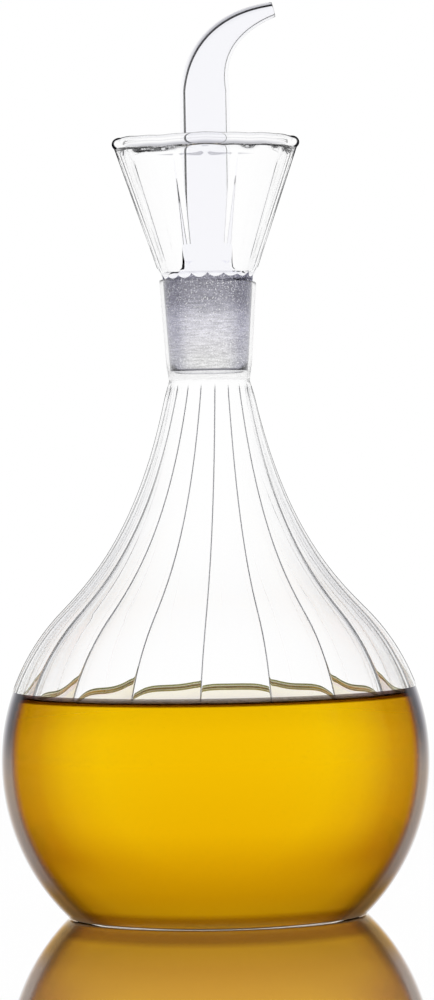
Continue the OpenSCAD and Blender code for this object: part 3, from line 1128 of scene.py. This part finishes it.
@dataclass
class Stopper:
    """The hollow stopper, one piece of fused glass: ground cone, drip cup and bent spout.

    Sizes are in mm and degrees; the line widths are those of its painted dark outlines, painted shade, as
    they show from outside.
    """

    flask: Flask
    joint_gap: float = 0.05
    cone_wall: float = 1.3
    cup_d: float = 50.0
    cup_flare_h: float = 2.6
    cup_flare_d: float = 27.0
    cup_wall: float = 1.3
    rim_t: float = 3.2
    rim_proud: float = 0.2
    rib_h: float = 0.18
    rib_w: float = 1.1
    rib_foot: tuple = (3.0, 4.0)     # how far below and above the flare's top the ribs rise
    rib_end: tuple = (6.0, 2.0)      # how far under the rim they start to fade, and are gone
    rim_tilt: float = 0.45
    rim_waves: tuple = ((0.16, 3, 1.0), (0.1, 7, 2.0))     # rise, count and shift of each
    rim_flute: float = 0.06
    cup_line_w: float = 0.25
    rim_line_w: float = 0.04
    tube_line_w: float = 0.40
    tube_line_more: float = 0.20
    foot_line_h: float = 1.2
    spout_d: float = 13.3
    spout_wall: float = 0.9
    foot_flare_r: float = 3.3
    spout_h: float = 49.6
    tip_rise: float = 21.3
    tip_reach: float = 18.4
    tip_d: float = 4.2
    tip_wall: float = 0.6
    tip_angle: float = 14.0
    bend_pull: float = 11.0
    tip_pull: float = 12.0
    drip_hole_d: float = 2.4
    scallop_h: float = 1.2
    cone_edge: float = 0.3
    cone_bevel: tuple = (0.12, 0.08)
    bend_steps: int = 40

    def __post_init__(self) -> None:
        """Works out the heights from the frame, and the bend's curve."""
        self.cone_low_z, self.cone_top_z = box_heights("ground_cone")
        self.cup_z, cup_top = box_heights("drip_cup")
        self.rim_r = self.rim_t / 2
        self.rim_z = cup_top - self.rim_r
        self.bend_z = self.cone_top_z + self.spout_h
        self.spout_r = self.spout_d / 2
        self.seat_r = self.cone_r(self.cone_top_z) - self.cone_wall
        self.floor_z = self.cup_z + self.spout_wall
        self.flare_z = self.cup_z + self.cup_flare_h
        self.foot_centre = (self.spout_r + self.foot_flare_r, self.floor_z + self.foot_flare_r)
        tip = np.array([self.tip_reach, self.bend_z + self.tip_rise])
        lift = math.radians(self.tip_angle)
        self.bend = [
            np.array([0.0, self.bend_z]),
            np.array([0.0, self.bend_z + self.bend_pull]),
            tip - self.tip_pull * np.array([math.cos(lift), math.sin(lift)]),
            tip,
        ]

    def cone_r(self, z: float) -> float:
        """Radius of the ground cone at a height."""
        return self.flask.bore_r(z) - self.joint_gap

    def cup_r(self, z: float) -> float:
        """Outside radius of the cup's straight wall at a height."""
        low, high = self.cup_flare_d / 2, self.cup_d / 2 - self.rim_proud
        return low + (high - low) * (z - self.flare_z) / (self.rim_z - self.flare_z)

    def outer_r(self, z: np.ndarray) -> np.ndarray:
        """Outside radius of cone, flare and cup.

        Args:
            z: a height in mm, or one per column.

        Returns:
            The radius at each height.
        """
        cone = (self.cone_low_z, self.cone_top_z)
        heights = (*cone, self.flare_z, self.rim_z)
        radii = (*(self.cone_r(low) for low in cone), self.cup_flare_d / 2, self.cup_r(self.rim_z))
        return np.interp(z, heights, radii)

    def crest(self, radius: float) -> np.ndarray:
        """How much of a rib's crest each column of the cup is."""
        _, from_rib = column_angles(radius)
        return np.clip(1 - (np.abs(from_rib) * radius / self.rib_w) ** 2, 0, 1) ** 2

    def bend_row(self, skin: GlassRows, t: float, radius: float, push: float = 0.0,
                 lined: bool = False) -> None:
        """Adds a ring square to the bend's curve.

        Args:
            skin: the rows so far.
            t: how far along the curve it stands, from 0 to 1.
            radius: its radius in mm.
            push: how far it is moved on along the curve, in mm.
            lined: whether it shows a painted dark outline.
        """
        centre, way = cubic(self.bend, t)
        centre = centre + push * way
        angles, _ = column_angles(radius)
        angles = angles + FRONT
        points = np.empty((len(angles), 3))
        points[:, 0] = centre[0] + radius * np.cos(angles) * way[1]
        points[:, 1] = radius * np.sin(angles)
        points[:, 2] = centre[1] - radius * np.cos(angles) * way[0]
        skin.add(points, StopperSkin.TUBE, edge=self.tube_edge(radius) if lined else 0.0)

    def tube_edge(self, radius: float) -> np.ndarray:
        """How soon each column of the bore's painted dark outline sets in: sooner on the thick side, away
        from the tip.
        """
        angles, _ = column_angles(radius)
        return edge_of(self.tube_line_w - self.tube_line_more * np.sin(angles), radius)

    def rim_wave(self, radius: float) -> np.ndarray:
        """How far the rim rides up at each column: a flame-worked rim is never quite level.

        Args:
            radius: the row's radius in mm.

        Returns:
            The rise of each column in mm.
        """
        angles, _ = column_angles(radius)
        waves = sum(rise * np.sin(count * angles + shift) for rise, count, shift in self.rim_waves)
        return waves + self.rim_flute * np.cos(RIB_COUNT * angles) - self.rim_tilt * np.cos(angles)

    def rows(self) -> GlassRows:
        """Rows from the cone's lower edge up inside, down the spout, round the cup and down the cone.

        Returns:
            The rows of the stopper's whole skin, whose last joins its first.
        """
        skin = GlassRows()
        self.inside_rows(skin)
        self.spout_rows(skin)
        self.cup_rows(skin)
        self.cone_rows(skin)
        return skin

    def inside_rows(self, skin: GlassRows) -> None:
        """Adds the cone's inside and the bore of the spout, up to its tip.

        Args:
            skin: the rows so far.
        """
        low = (self.cone_r(self.cone_low_z) - self.cone_wall, self.cone_low_z + self.cone_edge)
        skin.run(line(low, (self.seat_r, self.cone_top_z - 0.6), 8), StopperSkin.CLEAR)
        seal = [(self.seat_r - 0.06, self.cone_top_z - 0.25), (self.seat_r - 0.3, self.cup_z - 0.03)]
        seal += arc(self.foot_centre, self.foot_flare_r + self.spout_wall, -90, -180, 14)
        skin.run(seal, StopperSkin.SEAL)
        bore = self.spout_r - self.spout_wall
        for radius, z in line((bore, self.foot_centre[1]), (bore, self.bend_z), 10)[1:-1]:
            skin.turned(radius, z, StopperSkin.TUBE, edge=self.tube_edge(radius))
        tip_bore = self.tip_d / 2 - self.tip_wall
        for t in np.linspace(0, 1, self.bend_steps + 1):
            self.bend_row(skin, t, bore + (tip_bore - bore) * t, lined=True)

    def spout_rows(self, skin: GlassRows) -> None:
        """Adds the tip's rounding and the spout's outside, down to the flared foot that seals the cup.

        Args:
            skin: the rows so far.
        """
        lip = self.tip_wall / 2
        for angle in np.radians(np.linspace(180, 0, 7))[1:-1]:
            self.bend_row(skin, 1.0, self.tip_d / 2 - lip + lip * math.cos(angle), lip * math.sin(angle))
        for t in np.linspace(0, 1, self.bend_steps + 1)[::-1]:
            self.bend_row(skin, t, self.spout_r + (self.tip_d / 2 - self.spout_r) * t)
        foot_z = self.foot_centre[1]
        skin.run(line((self.spout_r, self.bend_z), (self.spout_r, foot_z), 10)[1:-1], StopperSkin.TUBE)
        for radius, z in arc(self.foot_centre, self.foot_flare_r, -180, -90, 14):
            lined = z > self.floor_z + self.foot_line_h
            skin.turned(radius, z, StopperSkin.SEAL, edge=self.tube_edge(radius) if lined else 0.0)
        seam = ((self.seat_r, self.floor_z + 0.02), (self.seat_r + 0.6, self.floor_z + 0.12))
        skin.run(seam, StopperSkin.SEAL)

    def cup_rows(self, skin: GlassRows) -> None:
        """Adds the cup's inside, its rounded rim and its ribbed outside, down to the flare.

        Args:
            skin: the rows so far.
        """
        wall_top = self.rim_z - self.rim_r
        wall = np.linspace(self.flare_z + 0.2, wall_top - 0.3, 16)
        for z in (self.floor_z + 0.45, self.floor_z + 1.0, *wall):
            skin.turned(float(self.outer_r(np.array(z))) - self.cup_wall, z, StopperSkin.CLEAR)
        # painted dark outlines along the rim and the cup's ribbed outside
        rim_edge = edge_of(self.rim_line_w, self.rim_r)
        for radius, z in arc((self.cup_d / 2 - self.rim_r, self.rim_z), self.rim_r, 255, -52, 26):
            skin.turned(radius, z + self.rim_wave(radius), StopperSkin.CLEAR, edge=rim_edge)
        below, above = self.rib_foot
        starts, ends = (self.rim_z - gap for gap in self.rib_end)
        for z in np.linspace(wall_top - 0.2, self.flare_z, 24):
            radius = self.cup_r(z)
            rising = smooth_step(self.flare_z - below, self.flare_z + above, z)
            rib = self.rib_h * rising * (1 - smooth_step(starts, ends, z))
            edge = edge_of(self.cup_line_w, radius)
            skin.turned(radius + rib * self.crest(radius), z, StopperSkin.CLEAR, edge=edge)

    def cone_rows(self, skin: GlassRows) -> None:
        """Adds the flare, the ground cone, whose last row is marked as its end, and its bevelled edge.

        Args:
            skin: the rows so far.
        """
        for z in np.linspace(self.flare_z, self.cone_top_z + 0.9, 5)[1:]:
            self.cone_row(skin, z, 1.0, StopperSkin.CLEAR)
        for share in (*np.linspace(1, 0.015, 29), 0.0):
            self.cone_row(skin, self.cone_low_z + self.cone_edge, share, StopperSkin.GROUND)
        skin.crests[-1] = np.ones(len(skin.rows[-1]))
        outer, (inset, rise) = self.cone_r(self.cone_low_z), self.cone_bevel
        skin.run((
            (outer - inset, self.cone_low_z + rise),
            (outer - self.cone_wall / 2, self.cone_low_z),
            (outer - self.cone_wall + inset, self.cone_low_z + rise),
        ), StopperSkin.CLEAR)

    def cone_row(self, skin: GlassRows, z: float, share: float, slot: StopperSkin) -> None:
        """Adds a row outside at the flare or the cone.

        Args:
            skin: the rows so far.
            z: the row's height where slot is CLEAR, or the cone's lower edge where it is GROUND.
            share: how far up from there to the scalloped edge of the ground part a GROUND row is.
            slot: the material of the band after it.
        """
        mean_r = float(self.outer_r(np.array(z)))
        crest = self.crest(mean_r)
        scallop = self.cone_top_z - 0.3 + self.scallop_h * self.scallop(mean_r)
        if slot == StopperSkin.GROUND:
            heights = z + share * (scallop - z)
        else:
            heights = np.maximum(np.full(len(crest), z), scallop + 0.05 * (z - self.cone_top_z))
        rising = smooth_step(self.cone_top_z - 0.5, self.flare_z + self.rib_foot[1], heights)
        grown = self.rib_h * rising * crest
        skin.turned(self.outer_r(heights) + grown, heights, slot)

    def scallop(self, radius: float) -> np.ndarray:
        """How far the grinding reaches up: highest at a rib, and at some ribs more than at others.

        Args:
            radius: the row's radius in mm.

        Returns:
            The reach of each column, as a share of the scallops' height.
        """
        angles, from_rib = column_angles(radius)
        ribs = np.round((angles - from_rib) / CELL)
        away = np.abs(from_rib) / (CELL / 2)
        heights = 0.7 + 0.3 * np.sin(2.3 * ribs + 0.8)
        return (1 - np.sin(math.pi / 2 * away)) * heights + 0.2 * np.sin(2 * angles)

    def build(self, finishes: dict[StopperSkin, Finish]) -> bpy.types.Object:
        """Makes the stopper's glass, which lifts and turns, and stands for its three CAD nodes.

        Args:
            finishes: the finish of each slot.

        Returns:
            The piece.
        """
        dressed = [finishes[s].material() for s in StopperSkin]
        piece = self.rows().mesh_object("stopper_glass", dressed, None)
        self.drill(piece)
        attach(piece, "stopper")
        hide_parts("ground_cone", "drip_cup", "pouring_spout")
        return piece

    def drill(self, piece: bpy.types.Object) -> None:
        """Cuts the hole in the spout's foot that lets drips run back.

        Args:
            piece: the stopper's glass.
        """
        reach = (self.foot_centre[0] + self.spout_r) / 2 + self.drip_hole_d / 4
        sides = 32
        height = self.spout_wall + self.foot_flare_r + 2
        angles = np.arange(sides) * 2 * math.pi / sides
        radius = self.drip_hole_d / 2
        ring = np.stack([radius * np.cos(angles) - reach, radius * np.sin(angles), 0 * angles], axis=1)
        low, high = ring + (0, 0, self.cup_z - 1), ring + (0, 0, self.cup_z - 1 + height)
        mesh = bpy.data.meshes.new("drip_drill")
        walls = [(i, (i + 1) % sides, sides + (i + 1) % sides, sides + i) for i in range(sides)]
        caps = [tuple(range(sides - 1, -1, -1)), tuple(range(sides, 2 * sides))]
        mesh.from_pydata((np.concatenate([low, high]) * MM).tolist(), [], walls + caps)
        drill = put_in_scene("drip_drill", mesh)
        cut = piece.modifiers.new("drip_hole", "BOOLEAN")
        cut.operation = "DIFFERENCE"
        cut.solver = "MANIFOLD"
        cut.object = drill
        graph = bpy.context.evaluated_depsgraph_get()
        cut_mesh = bpy.data.meshes.new_from_object(piece.evaluated_get(graph))
        piece.modifiers.clear()
        piece.data = cut_mesh
        bpy.data.objects.remove(drill)


# The studio


@dataclass
class Studio:
    """White sweep, glossy white sheet, and a camera level with the flask.

    Lengths are in metres, but for the lens in mm; angles are in degrees. The sky's places are the height
    of the direction, from level, 0, to straight up, 1.
    """

    floor_reach: float = 6.0
    floor_drop: float = 0.0002
    floor_sides: int = 96
    camera_place: tuple = (0.0015, -1.20, 0.124)
    camera_aim: tuple = (0.0015, 0.0, 0.1104)
    camera_roll: float = -0.95
    lens: float = 162.0
    sky: tuple = (
        (0.0, "#FFFFFF"), (0.14, "#FFFFFF"), (0.26, "#EEEEF0"), (0.375, "#DADADE"), (0.515, "#BFBFC4"),
        (0.707, "#C4C4CA"), (1.0, "#E0E0E4"),
    )

    def build_floor(self) -> bpy.types.Object:
        """Makes the round sheet that the object stands on.

        Returns:
            The floor.
        """
        sides, reach, level = self.floor_sides, self.floor_reach, -self.floor_drop
        angles = np.arange(sides) * 2 * math.pi / sides
        points = [(0, 0, level)] + [(reach * math.cos(a), reach * math.sin(a), level) for a in angles]
        mesh = bpy.data.meshes.new("floor")
        mesh.from_pydata(points, [], [(0, i + 1, (i + 1) % sides + 1) for i in range(sides)])
        mesh.materials.append(GlossWhite("cast_acrylic_white").material())
        floor = put_in_scene("floor", mesh)
        return floor

    def build_world(self) -> bpy.types.World:
        """Makes the white sweep with its darker ceiling, and its even light on matt surfaces.

        Returns:
            The world.
        """
        world = bpy.data.worlds.new("studio")
        world.use_nodes = True
        tree = world.node_tree
        tree.nodes.clear()
        way = add_node(tree, "TexCoord").outputs["Generated"]
        height = add_node(tree, "SeparateXYZ", {0: way}).outputs["Z"]
        sky = add_node(tree, "ValToRGB", {0: height}, self.sky).outputs["Color"]
        seen = add_node(tree, "Background", {"Color": sky, "Strength": 1.0}).outputs[0]
        lit = add_node(tree, "Background", {"Color": "#FFFFFF", "Strength": 1.0}).outputs[0]
        path = add_node(tree, "LightPath").outputs
        glass = add_node(tree, "Math", {
            0: path["Is Glossy Ray"], 1: path["Is Transmission Ray"],
        }, operation="ADD").outputs[0]
        direct = add_node(tree, "Math", {
            0: glass, 1: path["Is Camera Ray"],
        }, operation="ADD", use_clamp=True).outputs[0]
        shader = add_node(tree, "MixShader", {0: direct, 1: lit, 2: seen}).outputs[0]
        add_node(tree, "OutputWorld", {"Surface": shader})
        bpy.context.scene.world = world
        return world

    def build_camera(self) -> bpy.types.Object:
        """Makes the camera, which looks almost level along +Y with a slight roll.

        Returns:
            The camera.
        """
        data = bpy.data.cameras.new("camera")
        data.lens = self.lens
        data.sensor_width = 36.0
        data.clip_start = 0.01
        camera = put_in_scene("camera", data)
        place, aim = Vector(self.camera_place), Vector(self.camera_aim)
        look = (aim - place).to_track_quat("-Z", "Y").to_matrix().to_4x4()
        roll = Matrix.Rotation(math.radians(self.camera_roll), 4, "Z")
        camera.matrix_world = Matrix.Translation(place) @ look @ roll
        bpy.context.scene.camera = camera
        return camera

    def set_up(self) -> None:
        """Makes floor, world and camera, and lets light cross all the walls of the glass."""
        self.build_floor()
        self.build_world()
        self.build_camera()
        scene = bpy.context.scene
        scene.view_settings.view_transform = "Standard"
        scene.cycles.max_bounces = 32
        scene.cycles.transmission_bounces = 32
        scene.cycles.glossy_bounces = 12
        scene.cycles.diffuse_bounces = 3


def main() -> None:
    """Builds the cruet and its studio."""
    logging.basicConfig(level=logging.INFO, format="%(name)s: %(message)s")
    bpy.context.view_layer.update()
    clear = BoroClear("borosilicate_clear")
    # the socket's bore, wetted by the oil that runs back, so that it is clearer than the cone
    bore = GroundGlass("borosilicate_ground_bore", dip=0.15, chalk=0.02)
    # drawn tubing, a trace greyer than the blown glass, with a painted black outline where its wall is seen
    # on end
    tube = BoroClear("borosilicate_tube", tint="#FDFDFE", painted_outline_colour="#040408")
    # the fused seal at the spout's foot, where glass meets glass and hardly bends light, with the same
    # painted black outline
    seal = BoroClear("borosilicate_seal", ior=1.002, tint="#FDFDFE", painted_outline_colour="#040408")
    # the ground cone, with painted light and shade: bright where the light stands behind it, and grey
    # towards the thick fused top and on its round sides
    cone = GroundGlass("borosilicate_ground_cone", side="#CECED8", light=(
        (0.0, "#FFFFFF"), (0.2, "#FFFFFF"), (0.3, "#FDFCFF"), (0.5, "#F8F7FF"), (0.6, "#EEEDF6"),
        (0.69, "#D0CFDA"), (0.78, "#B4B3BE"), (0.93, "#A8A7B2"), (1.0, "#A4A3AE"),
    ))
    flask = Flask()
    # the glass over the oil, with painted shade, a painted sheen and a painted reflection
    over_oil = BoroOverOil("borosilicate_over_oil_painted_light", oil_line=flask.wet_z)
    pieces = [
        flask.build({FlaskSkin.CLEAR: clear, FlaskSkin.OVER_OIL: over_oil, FlaskSkin.GROUND: bore}),
        OilFill(flask).build(OliveOil("olive_oil")),
        Stopper(flask).build({
            StopperSkin.CLEAR: clear, StopperSkin.TUBE: tube, StopperSkin.SEAL: seal,
            StopperSkin.GROUND: cone,
        }),
    ]
    Studio().set_up()


if __name__ == "__main__":
    main()
